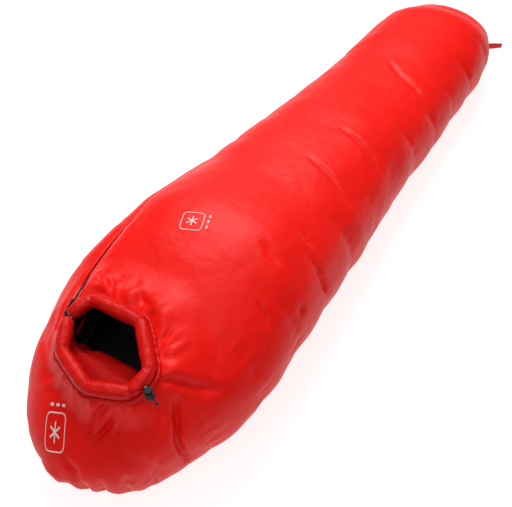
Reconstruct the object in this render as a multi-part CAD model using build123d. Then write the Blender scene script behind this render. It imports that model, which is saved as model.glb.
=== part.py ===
from build123d import *
import math
import os

import numpy as np

os.makedirs("parts", exist_ok=True)

# ------------------------------------------------------------------ sizes, mm
# The bag lies filled out on its back. +Y runs from the hood to the foot, +Z is
# up, -X is the sleeper's left, where the zipper is. Z = 0 is the ground.
LENGTH = 2120.0
HALF = LENGTH / 2
Y_TAB = [-1060, -1018, -933, -860, -806, -720, -636, -424, -170, 170, 530, 848, 975, 1028, 1060]
W_TAB = [20, 112, 192, 228, 252, 281, 297, 286, 266, 238, 222, 208, 164, 110, 18]
H_TAB = [33, 140, 255, 290, 303, 326, 352, 386, 335, 300, 262, 262, 216, 125, 30]
N_TAB = [2.3, 2.3, 2.5, 2.8, 2.8, 2.6, 2.4, 2.3, 2.3, 2.3, 2.3, 2.3, 2.3, 2.3, 2.3]
Z_MID = 120.0            # the ends draw up to this height
HOOD_Y = -800.0          # seam between hood and body
FOOT_Y = 850.0           # seam between body and footbox
SIDE_Z = 125.0           # side seam between top and bottom panels
CHAMBER = 150.0          # pitch of the down chambers
SEAM_PINCH = 7.0         # how far a chamber seam draws the shell in
CLOTH = 2.0              # thickness given to shell and lining cloth
PLY_GAP = 0.5            # play between cloth and fill
LOFT_SIDE, LOFT_TOP, LOFT_BOTTOM, LOFT_END = 52.0, 60.0, 36.0, 48.0

# face opening and its padded ring
RING_C = (0.0, -820.0, 345.0)
RING_TILT = 8.0
# corners of the ring's centre line in its own plane, x across, y towards the foot
RING_PTS = [(-123.0, 14.0), (-106.0, 76.0), (30.0, 88.0), (121.0, 10.0), (117.0, -50.0), (28.0, -91.0), (-78.0, -58.0)]
RING_FILLET = 34.0
TUBE_R = 19.0

# zipper: three points of its circular line
ZIP_P = [(-165.6, -784.8, 293.9), (-226.2, -450.0, 298.8), (-200.0, 220.0, 63.7)]
CHANNEL_HALF = 9.0
SLIDER_L = 13.0

CORD_R = 1.75
WEB_W, WEB_T = 16.0, 2.0


# -------------------------------------------------------------- smooth tables
def monotone(xs, ys):
    x = np.array(xs, float)
    y = np.array(ys, float)
    h = np.diff(x)
    d = np.diff(y) / h
    m = np.zeros(len(x))
    for i in range(1, len(x) - 1):
        if d[i - 1] * d[i] > 0:
            a, b = 2 * h[i] + h[i - 1], h[i] + 2 * h[i - 1]
            m[i] = (a + b) / (a / d[i - 1] + b / d[i])
    m[0], m[-1] = d[0], d[-1]

    def f(v):
        i = int(min(max(np.searchsorted(x, v) - 1, 0), len(h) - 1))
        t = (v - x[i]) / h[i]
        return float(
            (1 + 2 * t) * (1 - t) ** 2 * y[i]
            + t * (1 - t) ** 2 * h[i] * m[i]
            + t * t * (3 - 2 * t) * y[i + 1]
            + t * t * (t - 1) * h[i] * m[i + 1]
        )

    return f


half_width = monotone(Y_TAB, W_TAB)
height = monotone(Y_TAB, H_TAB)
power = monotone(Y_TAB, N_TAB)

SEAMS = [HOOD_Y + CHAMBER * k for k in range(12)]
STATIONS = [-1060, -1046, -1022, -985, -940, -895, -845]
for k in range(11):
    STATIONS += [SEAMS[k], SEAMS[k] + CHAMBER / 2]
STATIONS += [FOOT_Y, 905, 955, 995, 1025, 1047, 1060]


def station(y):
    """Half width, top, bottom and section power of the outer surface."""
    pinch = SEAM_PINCH if any(abs(y - s) < 1 for s in SEAMS) else 0.0
    h = height(y)
    mid = max(h / 2, Z_MID)
    return half_width(y) - pinch, mid + h / 2 - pinch, mid - h / 2, power(y)


def section(y, w, top, bottom, n):
    """Flat-bottomed superellipse in the plane at y."""
    hh, zm = (top - bottom) / 2, (top + bottom) / 2
    low = abs(math.sin(math.radians(70))) ** (2 / n)
    pts = []
    for i in range(17):
        t = math.radians(-70 + 20 * i)
        c, s = math.cos(t), math.sin(t)
        if i == 8:
            c = 0.0
        x = w * math.copysign(abs(c) ** (2 / n), c)
        z = math.copysign(abs(s) ** (2 / n), s)
        if z < 0:
            z /= low
        pts.append(Vector(x, y, zm + hh * z))
    pts[-1] = Vector(-pts[0].X, y, bottom)
    pts[0] = Vector(pts[0].X, y, bottom)
    return Wire([Edge.make_spline(pts), Edge.make_line(pts[-1], pts[0])])


def layer(side, top, bottom, end):
    """Closed solid of the bag's form, drawn in by these depths."""
    wires = []
    for y in STATIONS:
        w, zt, zb, n = station(y)
        q = min(1.0, 0.42 * w / 58.0)
        r = min(1.0, 0.80 * (zt - zb) / 102.0)
        wires.append(
            section(y * (1 - end / HALF), w - side * q, zt - top * r, zb + bottom * r, n)
        )
    return Solid.make_loft(wires, ruled=True)


def block(x0, x1, y0, y1, z0, z1):
    return Pos((x0 + x1) / 2, (y0 + y1) / 2, (z0 + z1) / 2) * Box(x1 - x0, y1 - y0, z1 - z0)


def solids(shape):
    if isinstance(shape, (list, ShapeList)):
        out = []
        for s in shape:
            out += list(s.solids())
        return out
    return list(shape.solids())


NODES = {}


def keep(name, *shapes):
    found = []
    for s in shapes:
        found += solids(s)
    found = [s for s in found if s.volume > 0.5]
    NODES[name] = found
    shape = found[0] if len(found) == 1 else Compound(children=found)
    export_step(shape, f"parts/{name}.step")
    bb = shape.bounding_box()
    print(
        f"{name}: {len(found)} solids, {sum(s.volume for s in found):.0f} mm3, "
        f"x {bb.min.X:.1f} {bb.max.X:.1f} y {bb.min.Y:.1f} {bb.max.Y:.1f} z {bb.min.Z:.1f} {bb.max.Z:.1f}"
    )


# ------------------------------------------------------------ cutting shapes
RING = Plane(
    origin=RING_C,
    x_dir=(1, 0, 0),
    z_dir=(0, -math.sin(math.radians(RING_TILT)), math.cos(math.radians(RING_TILT))),
)


def ring_prism(inward, w0, w1):
    """Prism inside the ring, its side this far in from the ring's centre line."""
    face = make_face(FilletPolyline(*RING_PTS, radius=RING_FILLET, close=True).edges())
    return RING * Pos(0, 0, w0) * extrude(offset(face, -inward), w1 - w0)


opening = ring_prism(15.4, -150, 60)

# the zipper's circle
A, B, C = (np.array(p, float) for p in ZIP_P)
ab, ac = B - A, C - A
ZN = np.cross(ab, ac)
ZN = ZN / np.linalg.norm(ZN)
e1 = ab / np.linalg.norm(ab)
e2 = np.cross(ZN, e1)
bx, by, ax_ = ac @ e1, ac @ e2, ab @ e1
ZC = A + ax_ / 2 * e1 + (bx * bx + by * by - ax_ * bx) / (2 * by) * e2
ZR = float(np.linalg.norm(A - ZC))
ZU = (A - ZC) / ZR
ZT = np.cross(ZN, ZU)
ZA = math.degrees(math.atan2((C - ZC) @ ZT, (C - ZC) @ ZU))
print("zip centre", ZC.round(3), "radius", round(ZR, 3), "axis", ZN.round(6), "angle", round(ZA, 3))
ZIP_AXIS = Axis(origin=tuple(ZC), direction=tuple(ZN))
ZIP_PLANE = Plane(origin=tuple(A), x_dir=tuple(ZN), z_dir=tuple(ZT))  # x across the tape, y outward
DEG = 360.0 / (2 * math.pi * ZR)   # degrees per mm along the zip


def along_zip(profile, start, end):
    """Sweep a profile of (across, outward) along the zip, from start to end degrees."""
    s = revolve(ZIP_PLANE * profile, axis=ZIP_AXIS, revolution_arc=end - start)
    return s.rotate(ZIP_AXIS, start)


def rect(x0, x1, y0, y1):
    return Pos((x0 + x1) / 2, (y0 + y1) / 2) * Rectangle(x1 - x0, y1 - y0)


Z_START = -13.0 * DEG
Z_END = ZA + 14.0 * DEG
channel = along_zip(rect(-CHANNEL_HALF, CHANNEL_HALF, -60, 60), -24.0 * DEG, Z_END) + along_zip(
    rect(-CHANNEL_HALF, CHANNEL_HALF, -95, -59), -46.0 * DEG, 34.0
)
# room past the zipper's end for the pull tab, in the outer cloth only
channel += along_zip(rect(-CHANNEL_HALF, CHANNEL_HALF, 3, 60), Z_END - 0.5 * DEG, ZA + 34.0 * DEG)

# pockets in which the roots of the two foot loops are sewn
LOOP_Z = 100.0
LOOP_ROOT = (140.0, 1004.0)
LOOP_DIR = 40.0


def loop_place(side):
    ang = LOOP_DIR if side > 0 else 180 - LOOP_DIR
    return Pos(side * LOOP_ROOT[0], LOOP_ROOT[1], LOOP_Z) * Rot(0, 0, ang)


loop_pockets = [loop_place(s) * Pos(0, 0, 0) * Box(32, 2 * WEB_T + 2.2, WEB_W + 1.2) for s in (-1, 1)]

# ------------------------------------------------------- shell, fill, lining
g = PLY_GAP
d1, d2 = CLOTH, CLOTH + g
outer = layer(0, 0, 0, 0)
shell = outer - layer(d1, d1, d1, d1)
down = layer(d2, d2, d2, d2) - layer(d2 + LOFT_SIDE, d2 + LOFT_TOP, d2 + LOFT_BOTTOM, d2 + LOFT_END)
d3 = d2 + g
lining = layer(d3 + LOFT_SIDE, d3 + LOFT_TOP, d3 + LOFT_BOTTOM, d3 + LOFT_END) - layer(
    d3 + CLOTH + LOFT_SIDE, d3 + CLOTH + LOFT_TOP, d3 + CLOTH + LOFT_BOTTOM, d3 + CLOTH + LOFT_END
)
BIG = 700.0
hood_box = block(-BIG, BIG, -1100, HOOD_Y, -50, 600)
foot_box = block(-BIG, BIG, FOOT_Y, 1100, -50, 600)
top_box = block(-BIG, BIG, HOOD_Y, FOOT_Y, SIDE_Z, 600)
bottom_box = block(-BIG, BIG, HOOD_Y, FOOT_Y, -50, SIDE_Z)


def split_skin(skin, prefix, hood_name, foot_name):
    cut = skin - opening
    keep(hood_name, (cut & hood_box) - channel)
    keep(foot_name, (cut & foot_box) - loop_pockets)
    tops = solids((cut & top_box) - channel)
    tops.sort(key=lambda s: -s.volume)
    keep(prefix + "_top_panel", tops[0])
    keep(prefix + "_left_side_strip", *tops[1:])
    keep(prefix + "_bottom_panel", (cut & bottom_box) - channel)


split_skin(shell, "shell", "hood_shell", "footbox_shell")
split_skin(lining, "lining", "hood_lining", "footbox_lining")

# down chambers: the fill, parted by thin baffle walls
gaps = [block(-BIG, BIG, s - 1.0, s + 1.0, -50, 600) for s in SEAMS[1:-1]]
gaps += [block(-BIG, BIG, s - 0.3, s + 0.3, -50, 600) for s in (SEAMS[0], SEAMS[-1])]
gaps += [block(-BIG, BIG, HOOD_Y - 0.2, FOOT_Y + 0.2, SIDE_Z - 0.3, SIDE_Z + 0.3)]
fill = solids(down - [opening, channel] - loop_pockets - gaps)


def place(s):
    c = s.center(CenterOf.MASS)
    if c.Y < HOOD_Y:
        return "hood_down"
    if c.Y > FOOT_Y:
        return "footbox_down"
    if c.Z < SIDE_Z:
        return "down_chambers_bottom"
    return "down_chambers_left_strip" if c.X < -150 else "down_chambers_top"


groups = {}
for s in fill:
    groups.setdefault(place(s), []).append(s)
for name, found in groups.items():
    keep(name, *found)

walls = []
for s in SEAMS[1:-1]:
    walls += solids(
        (down & block(-BIG, BIG, s - 0.5, s + 0.5, -50, 600))
        - [opening, channel, block(-BIG, BIG, s - 1, s + 1, SIDE_Z - 0.3, SIDE_Z + 0.3)]
    )
wall_groups = {"top": [], "left_strip": [], "bottom": []}
for s in walls:
    c = s.center(CenterOf.MASS)
    if c.Z < SIDE_Z:
        wall_groups["bottom"].append(s)
    elif c.X < -150:
        wall_groups["left_strip"].append(s)
    else:
        wall_groups["top"].append(s)
for name, found in wall_groups.items():
    if found:
        keep("baffle_walls_" + name, *found)


# ------------------------------------------------------------ cord lock maker
def cord_lock(place_at):
    """Barrel, plunger and spring. Local x is the cord, local z the plunger."""
    barrel = Pos(0, 0, -1) * Cylinder(10.0, 24.0)
    barrel = fillet(barrel.edges().filter_by(GeomType.CIRCLE).sort_by(Axis.Z)[0], 3.0)
    barrel -= Pos(0, 0, -9.5) * Cylinder(6.5, 30.0, align=(Align.CENTER, Align.CENTER, Align.MIN))
    barrel -= Rot(0, 90, 0) * Cylinder(3.1, 30.0)
    plunger = Pos(0, 0, -4.6) * Cylinder(6.4, 20.4, align=(Align.CENTER, Align.CENTER, Align.MIN))
    plunger += Pos(0, 0, 14.6) * Cylinder(8.0, 3.4, align=(Align.CENTER, Align.CENTER, Align.MIN))
    plunger = fillet(plunger.edges().filter_by(GeomType.CIRCLE).sort_by(Axis.Z)[-1], 1.2)
    plunger -= Pos(0, 0, 1.4) * Rot(0, 90, 0) * Cylinder(3.5, 30.0)
    spring = Pos(0, 0, -9.4) * Cylinder(4.8, 2.0, align=(Align.CENTER, Align.CENTER, Align.MIN))
    spring -= Pos(0, 0, -9.4) * Cylinder(3.6, 2.0, align=(Align.CENTER, Align.CENTER, Align.MIN))
    return place_at * barrel, place_at * plunger, place_at * spring


def tube_loop(plane, a, b, corner, r):
    """Round tube along a rounded rectangle, as four straight and four bent pieces."""
    path = plane * RectangleRounded(2 * a, 2 * b, corner)
    return tube_on(path.faces()[0].outer_wire(), r)


def ring_tube(r):
    """Round tube along the face ring's centre line."""
    return tube_on(Wire((RING * FilletPolyline(*RING_PTS, radius=RING_FILLET, close=True)).edges()), r)


def tube_on(wire, r):
    start = wire @ 0
    tangent = wire % 0
    prof = Plane(origin=start, z_dir=tangent) * Circle(r)
    return sweep(prof, path=wire, transition=Transition.RIGHT)


# --------------------------------------------------- padded ring round the face
ring_cover = ring_tube(TUBE_R)
ring_void = ring_tube(TUBE_R - 1.2)
ring_fill = ring_tube(TUBE_R - 1.6)
cord_bore = ring_tube(3.6)
cord_loop = ring_tube(CORD_R)

EXIT_T = 0.5                                     # where along the right side the cord comes out
(xa, ya), (xb, yb) = RING_PTS[3], RING_PTS[4]
exit_at = RING.from_local_coords(Vector(xa + (xb - xa) * EXIT_T, ya + (yb - ya) * EXIT_T, 0))
OUT = Vector(0.95, -0.31, 0.0).normalized()
OUT_PLANE = Plane(origin=exit_at, x_dir=(0, 0, 1), z_dir=OUT)


def stub(r, s0, s1):
    return OUT_PLANE * Pos(0, 0, s0) * Cylinder(r, s1 - s0, align=(Align.CENTER, Align.CENTER, Align.MIN))


seat = stub(6.3, 15.6, 40)
ring_cover = ring_cover - ring_void - seat
ring_fill = ring_fill - cord_bore - stub(3.3, 0, 40) - seat
face_cord = cord_loop + stub(CORD_R - 0.06, 0, 62.5)
eyelet = stub(6.0, 16.0, 20.6) - stub(2.7, 10, 30)
keep("face_ring_cover", ring_cover)
keep("face_ring_fill", ring_fill)
keep("face_drawcord", face_cord)
keep("face_drawcord_eyelet", eyelet)
keep("face_drawcord_knot", OUT_PLANE * Pos(0, 0, 62.6) * (Sphere(4.2) & Pos(0, 0, 0) * Cylinder(6, 9, align=(Align.CENTER, Align.CENTER, Align.MIN))))
LOCK_S = 34.5
lock_plane = Plane(origin=exit_at + OUT * LOCK_S, x_dir=OUT, z_dir=(0, 0, 1))
barrel, plunger, spring = cord_lock(lock_plane)
keep("face_cord_lock_barrel", barrel)
keep("face_cord_lock_plunger", plunger)
keep("face_cord_lock_spring", spring)
print("face lock axis", OUT, "at", exit_at + OUT * LOCK_S)

facing = ring_prism(16.0, -112, -14) - ring_prism(18.5, -120, 0)
keep("face_opening_facing", facing)

# ------------------------------------------------------- draft collar, inside
COLLAR_Y = -655.0
COLLAR = Plane(origin=(0, COLLAR_Y, 155.0), x_dir=(1, 0, 0), z_dir=(0, -1, 0))
CA, CB, CR, CT = 176.0, 72.0, 64.0, 24.0
exit_c = Vector(-CA, COLLAR_Y, 149.0)
EXIT_C = Plane(origin=exit_c, x_dir=(0, 0, 1), z_dir=(0, -1, 0))


def cstub(r, s0, s1):
    return EXIT_C * Pos(0, 0, s0) * Cylinder(r, s1 - s0, align=(Align.CENTER, Align.CENTER, Align.MIN))


collar_cover = tube_loop(COLLAR, CA, CB, CR, CT) - tube_loop(COLLAR, CA, CB, CR, CT - 1.2) - cstub(3.3, 0, 40)
collar_fill = tube_loop(COLLAR, CA, CB, CR, CT - 1.6) - tube_loop(COLLAR, CA, CB, CR, 3.6) - cstub(3.3, 0, 40)
keep("draft_collar_cover", collar_cover)
keep("draft_collar_fill", collar_fill)
keep("collar_drawcord", tube_loop(COLLAR, CA, CB, CR, CORD_R) + cstub(CORD_R - 0.06, 0, 64.0))
keep("collar_drawcord_knot", EXIT_C * Pos(0, 0, 64.1) * (Sphere(4.2) & Cylinder(6, 9, align=(Align.CENTER, Align.CENTER, Align.MIN))))
clock_plane = Plane(origin=exit_c + Vector(0, -37.0, 0), x_dir=(0, -1, 0), z_dir=(0, 0, 1))
barrel, plunger, spring = cord_lock(clock_plane)
keep("collar_cord_lock_barrel", barrel)
keep("collar_cord_lock_plunger", plunger)
keep("collar_cord_lock_spring", spring)
print("collar lock at", exit_c + Vector(0, -37.0, 0))

# ------------------------------------------------------------------- zipper
keep("zip_tape_upper", along_zip(rect(-8.6, -1.0, -0.4, 0.4), Z_START, Z_END - 2 * DEG))
keep("zip_tape_lower", along_zip(rect(1.0, 8.6, -0.4, 0.4), Z_START, Z_END - 2 * DEG))
C0, C1 = -8.2 * DEG, ZA + 2.0 * DEG
keep("zip_coil_upper", along_zip(rect(-3.4, -1.0, 0.45, 3.2), C0, C1))
keep("zip_coil_lower", along_zip(rect(1.0, 3.4, 0.45, 3.2), C0, C1))
keep(
    "zip_top_stops",
    along_zip(rect(-4.8, -1.2, 0.45, 3.4), -11.4 * DEG, -8.5 * DEG),
    along_zip(rect(1.2, 4.8, 0.45, 3.4), -11.4 * DEG, -8.5 * DEG),
)
keep("zip_bottom_stop", along_zip(rect(-5.0, 5.0, 0.45, 3.6), ZA + 2.3 * DEG, ZA + 6.3 * DEG))
keep("zip_anti_snag_strip", along_zip(rect(-8.6, -7.6, -14.0, -1.0), Z_START, Z_END - 2 * DEG))
keep(
    "draft_tube_cover",
    along_zip(Pos(0, -33) * (Ellipse(8.2, 12.0) - Ellipse(7.2, 11.0)), 1 * DEG, ZA),
)
keep("draft_tube_fill", along_zip(Pos(0, -33) * Ellipse(6.8, 10.6), 2 * DEG, ZA - 1 * DEG))


# slider, in local axes: x across, y outward, z along the zip
def slider():
    body = Pos(0, 1.2, 0) * Box(11.2, 8.0, SLIDER_L)            # y -2.8 .. 5.2
    body = fillet(body.edges().filter_by(Axis.Y), 2.2)
    body -= Box(30, 2.1, 30)                                     # tape slot
    body -= Pos(0, 1.4, 0) * Box(8.0, 4.9, 30)                   # coil tunnel, y -1.05 .. 3.85
    body += Pos(0, 1.2, -SLIDER_L / 2 + 2.0) * Box(1.3, 6.0, 3.0)  # post between the tapes
    up = Pos(0, 7.0, 0) * Box(2.2, 4.4, 8.0)                    # outer bridge
    up = fillet(up.edges().filter_by(Axis.X).sort_by(Axis.Y)[-2:], 1.8)
    up -= Pos(0, 7.0, 0) * Rot(0, 90, 0) * Cylinder(1.15, 10)
    down_ = Pos(0, -4.4, 0) * Box(2.2, 3.8, 6.0)                # inner bridge
    down_ = fillet(down_.edges().filter_by(Axis.X).sort_by(Axis.Y)[:2], 1.5)
    down_ -= Pos(0, -4.4, 0) * Rot(0, 90, 0) * Cylinder(1.05, 10)
    return body + up + down_


def puller(length, width, r):
    """Wire frame: its bar turns in the bridge at the origin, its length runs along +z."""
    half_w = width / 2
    bar = Rot(0, 90, 0) * Cylinder(r, width)
    rails = [Pos(s * half_w, 0, length / 2) * Cylinder(r, length) for s in (-1, 1)]
    end = Pos(0, 0, length) * Rot(0, 90, 0) * Cylinder(r, width)
    knobs = [Pos(s * half_w, 0, z) * Sphere(r) for s in (-1, 1) for z in (0, length)]
    f = bar + rails + [end] + knobs
    return f


SL = ZIP_PLANE
keep("zip_slider_body", SL * slider())
PIV_O = (0, 7.0, 0)
keep("zip_puller_outer", SL * Pos(*PIV_O) * puller(13.0, 7.0, 0.95))
# woven pull tab: loops round the frame's end bar
tab = Pos(0, 0, 10.2) * Box(5.0, 4.4, 5.6) - Pos(0, 0, 13.0) * Rot(0, 90, 0) * Cylinder(1.1, 20)
tab = Pos(0, 0, 24.0) * Box(4.8, 3.4, 24.0) - Pos(0, 0, 13.0) * Rot(0, 90, 0) * Cylinder(1.15, 20)
tab = fillet(tab.edges().filter_by(Axis.Y), 0.8)
keep("zip_pull_tab", SL * Pos(*PIV_O) * tab)
PIV_I = (0, -4.4, 0)
keep("zip_puller_inner", SL * Pos(*PIV_I) * Rot(90, 0, 0) * puller(9.0, 6.0, 0.85))
po = ZIP_PLANE.from_local_coords(Vector(*PIV_O))
pi_ = ZIP_PLANE.from_local_coords(Vector(*PIV_I))
print("outer pull pivot", po, "inner pull pivot", pi_, "ZT", ZT.round(6), "ZU", ZU.round(6))

# --------------------------------------------------------------- foot loops
for side, name in ((-1, "hang_loop_left"), (1, "hang_loop_right")):
    eye = SlotOverall(54, 13) - SlotOverall(54 - 2 * WEB_T, 13 - 2 * WEB_T)
    root = Rectangle(26, 2 * WEB_T)
    prof = Pos(38, 0) * eye + Pos(1, 0) * root
    keep(name, loop_place(side) * Pos(0, 0, -WEB_W / 2) * extrude(prof, WEB_W))

total = sum(s.volume for found in NODES.values() for s in found)
print("nodes", len(NODES), "total volume mm3", round(total), "least mass at 20 kg/m3:", round(total * 20e-9, 3))
print("travel of slider, degrees", round(ZA - SLIDER_L / 2 * DEG - 0.0, 3), "DEG per mm", DEG)
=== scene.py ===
import math

import bmesh
import bpy
import numpy as np
from mathutils import Matrix, Vector, noise
from mathutils.bvhtree import BVHTree


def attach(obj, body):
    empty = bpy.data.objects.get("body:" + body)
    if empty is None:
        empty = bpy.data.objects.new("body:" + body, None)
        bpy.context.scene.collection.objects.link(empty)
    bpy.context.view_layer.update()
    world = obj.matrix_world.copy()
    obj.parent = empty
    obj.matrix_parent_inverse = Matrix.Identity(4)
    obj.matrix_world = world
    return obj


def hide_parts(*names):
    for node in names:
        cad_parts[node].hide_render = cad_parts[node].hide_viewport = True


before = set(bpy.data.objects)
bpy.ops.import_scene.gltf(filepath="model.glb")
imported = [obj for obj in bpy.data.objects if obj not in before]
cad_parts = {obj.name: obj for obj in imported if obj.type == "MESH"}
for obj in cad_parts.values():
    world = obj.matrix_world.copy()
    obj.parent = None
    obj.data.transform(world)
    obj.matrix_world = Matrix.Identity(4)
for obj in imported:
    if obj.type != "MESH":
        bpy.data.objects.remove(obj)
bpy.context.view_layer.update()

rng = np.random.default_rng(7)
scene = bpy.context.scene

# ---------------------------------------------------------------- camera
CAM_AT = Vector((0.737057, -1.230779, 1.584597))
CAM_F = Vector((-0.383698, 0.501672, -0.775307)).normalized()
CAM_R = Vector((0.819557, 0.571894, -0.035546))
CAM_R = (CAM_R - CAM_F * CAM_R.dot(CAM_F)).normalized()
CAM_U = CAM_R.cross(CAM_F)
cam_data = bpy.data.cameras.new("camera")
cam_data.sensor_fit = "HORIZONTAL"
cam_data.sensor_width = 36.0
cam_data.lens = 47.39
cam_data.clip_end = 50
cam = bpy.data.objects.new("camera", cam_data)
scene.collection.objects.link(cam)
cam.matrix_world = Matrix(
    (
        (CAM_R.x, CAM_U.x, -CAM_F.x, CAM_AT.x),
        (CAM_R.y, CAM_U.y, -CAM_F.y, CAM_AT.y),
        (CAM_R.z, CAM_U.z, -CAM_F.z, CAM_AT.z),
        (0, 0, 0, 1),
    )
)
scene.camera = cam
scene.view_settings.view_transform = "Standard"

# ---------------------------------------------------------------- form, m
Y_TAB = [-1060, -1018, -933, -860, -806, -720, -636, -424, -170, 170, 530, 848, 975, 1028, 1060]
W_TAB = [20, 112, 192, 228, 252, 281, 297, 286, 266, 238, 222, 208, 164, 110, 18]
H_TAB = [33, 140, 255, 290, 303, 326, 352, 386, 335, 300, 262, 262, 216, 125, 30]
N_TAB = [2.3, 2.3, 2.5, 2.8, 2.8, 2.6, 2.4, 2.3, 2.3, 2.3, 2.3, 2.3, 2.3, 2.3, 2.3]
Z_MID = 0.120
HOOD_Y, FOOT_Y, CHAMBER = -0.800, 0.850, 0.150
SEAMS = [HOOD_Y + CHAMBER * k for k in range(12)]

RING_C = np.array((0.0, -0.820, 0.345))
TILT = math.radians(8.0)
RING_PTS = np.array(
    [(-0.123, 0.014), (-0.106, 0.076), (0.030, 0.088), (0.121, 0.010), (0.117, -0.050), (0.028, -0.091), (-0.078, -0.058)]
)

ZC = np.array((0.442866, -0.485705, -0.802101))
ZR = 1.288762
ZN = np.array((-0.847505, -0.145932, -0.510333))
ZU = np.array((-0.472132, -0.232080, 0.850429))
ZT = np.array((-0.242543, 0.961687, 0.127789))
ZA = math.radians(47.176)


def monotone(xs, ys):
    x, y = np.array(xs, float) / 1000, np.array(ys, float)
    h = np.diff(x)
    d = np.diff(y) / h
    m = np.zeros(len(x))
    for i in range(1, len(x) - 1):
        if d[i - 1] * d[i] > 0:
            a, b = 2 * h[i] + h[i - 1], h[i] + 2 * h[i - 1]
            m[i] = (a + b) / (a / d[i - 1] + b / d[i])
    m[0], m[-1] = d[0], d[-1]

    def f(v):
        v = np.asarray(v, float)
        i = np.clip(np.searchsorted(x, v) - 1, 0, len(h) - 1)
        t = (v - x[i]) / h[i]
        return (
            (1 + 2 * t) * (1 - t) ** 2 * y[i]
            + t * (1 - t) ** 2 * h[i] * m[i]
            + t * t * (3 - 2 * t) * y[i + 1]
            + t * t * (t - 1) * h[i] * m[i + 1]
        )

    return f


_w, _h, power = monotone(Y_TAB, W_TAB), monotone(Y_TAB, H_TAB), monotone(Y_TAB, N_TAB)
half_width = lambda y: _w(y) / 1000
height = lambda y: _h(y) / 1000


def smooth(t):
    t = np.clip(t, 0, 1)
    return t * t * (3 - 2 * t)


TH = np.radians(np.linspace(-90, 270, 1081))


def outline(y, side=0.0, top=0.0, bottom=0.0):
    """Closed section (x, z) at y, from the middle of the underside round the right, top and left."""
    w, h, n = float(half_width(y)), float(height(y)), float(power(y))
    mid = max(h / 2, Z_MID)
    zt, zb = mid + h / 2, mid - h / 2
    q = min(1.0, 0.42 * w / 0.058)
    r = min(1.0, 0.80 * (zt - zb) / 0.102)
    w -= side * q
    zt -= top * r
    zb += bottom * r
    hh, zm = (zt - zb) / 2, (zt + zb) / 2
    low = math.sin(math.radians(70)) ** (2 / n)
    c, s = np.cos(TH), np.sin(TH)
    x = w * np.sign(c) * np.abs(c) ** (2 / n)
    z = np.sign(s) * np.abs(s) ** (2 / n)
    z = np.where(z < 0, z / low, z)
    z = zm + hh * np.maximum(z, -1)
    lo = TH < math.radians(-70)
    hi = TH > math.radians(250)
    xb = w * math.cos(math.radians(70)) ** (2 / n)
    x[lo] = xb * (TH[lo] - TH[0]) / math.radians(20)
    x[hi] = -xb * (TH[-1] - TH[hi]) / math.radians(20)
    z[lo | hi] = zb
    return np.stack([x, z], 1)


def ring_w(x, y, z):
    """Ring-plane coordinates: across, towards the foot, above."""
    dy, dz = y - RING_C[1], z - RING_C[2]
    return x, dy * math.cos(TILT) + dz * math.sin(TILT), -dy * math.sin(TILT) + dz * math.cos(TILT)


def ring_point(x, v, w):
    return np.stack(
        [x, RING_C[1] + v * math.cos(TILT) - w * math.sin(TILT), RING_C[2] + v * math.sin(TILT) + w * math.cos(TILT)], -1
    )


def fillet_loop(pts, r, n=10):
    """Closed loop of points with its corners rounded."""
    out = []
    k = len(pts)
    for i in range(k):
        p, a, b = pts[i], pts[i - 1], pts[(i + 1) % k]
        u, v = (a - p) / np.linalg.norm(a - p), (b - p) / np.linalg.norm(b - p)
        ang = math.acos(np.clip(u @ v, -1, 1))
        t = min(r / math.tan(ang / 2), 0.45 * np.linalg.norm(a - p), 0.45 * np.linalg.norm(b - p))
        for s in np.linspace(0, 1, n):
            out.append((1 - s) ** 2 * (p + u * t) + 2 * s * (1 - s) * p + s * s * (p + v * t))
    return np.array(out)


def resample(loop, n, closed=True):
    q = np.vstack([loop, loop[:1]]) if closed else loop
    d = np.concatenate([[0], np.cumsum(np.linalg.norm(np.diff(q, axis=0), axis=1))])
    s = np.linspace(0, d[-1], n, endpoint=not closed)
    return np.stack([np.interp(s, d, q[:, i]) for i in range(q.shape[1])], 1), d[-1]


RING_LOOP, RING_LEN = resample(fillet_loop(RING_PTS, 0.026), 210)


def loop_distance(x, v, loop=None):
    """Signed distance to the ring's centre line, outside positive."""
    loop = RING_LOOP if loop is None else loop
    every = np.stack([np.ravel(x), np.ravel(v)], 1)
    lo, hi = loop.min(0) - 0.16, loop.max(0) + 0.16
    close = np.all((every > lo) & (every < hi), axis=1)
    P = every[close]
    a, b = loop, np.roll(loop, -1, 0)
    best = np.full(len(P), 9.0)
    inside = np.zeros(len(P), bool)
    for i in range(len(loop)):
        d = b[i] - a[i]
        t = np.clip(((P - a[i]) @ d) / (d @ d), 0, 1)
        best = np.minimum(best, np.hypot(*(P - a[i] - t[:, None] * d).T))
        c = (a[i, 1] > P[:, 1]) != (b[i, 1] > P[:, 1])
        with np.errstate(divide="ignore", invalid="ignore"):
            xx = (b[i, 0] - a[i, 0]) * (P[:, 1] - a[i, 1]) / (b[i, 1] - a[i, 1]) + a[i, 0]
        inside ^= c & (P[:, 0] < xx)
    out = np.full(len(every), 9.0)
    out[close] = np.where(inside, -best, best)
    return out.reshape(np.shape(x))


def arc(s):
    """Point, outward and along directions of the zipper at arc length s."""
    a = np.asarray(s, float) / ZR
    c, n = np.cos(a)[..., None], np.sin(a)[..., None]
    rad = c * ZU + n * ZT
    return ZC + ZR * rad, rad, -n * ZU + c * ZT


_s = np.linspace(-0.30, ZR * ZA + 0.9, 1400)
_ay = arc(_s)[0][:, 1]
ZIP_Y0, ZIP_Y1 = float(arc(-0.013)[0][1]), float(arc(ZR * ZA + 0.012)[0][1])


def zip_s_at(y):
    return float(np.interp(y, _ay, _s))


# ---------------------------------------------------------------- materials
def node_material(name):
    m = bpy.data.materials.new(name)
    m.use_nodes = True
    nt = m.node_tree
    nt.nodes.clear()
    out = nt.nodes.new("ShaderNodeOutputMaterial")
    bsdf = nt.nodes.new("ShaderNodeBsdfPrincipled")
    nt.links.new(bsdf.outputs[0], out.inputs[0])
    return m, nt, bsdf


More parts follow.
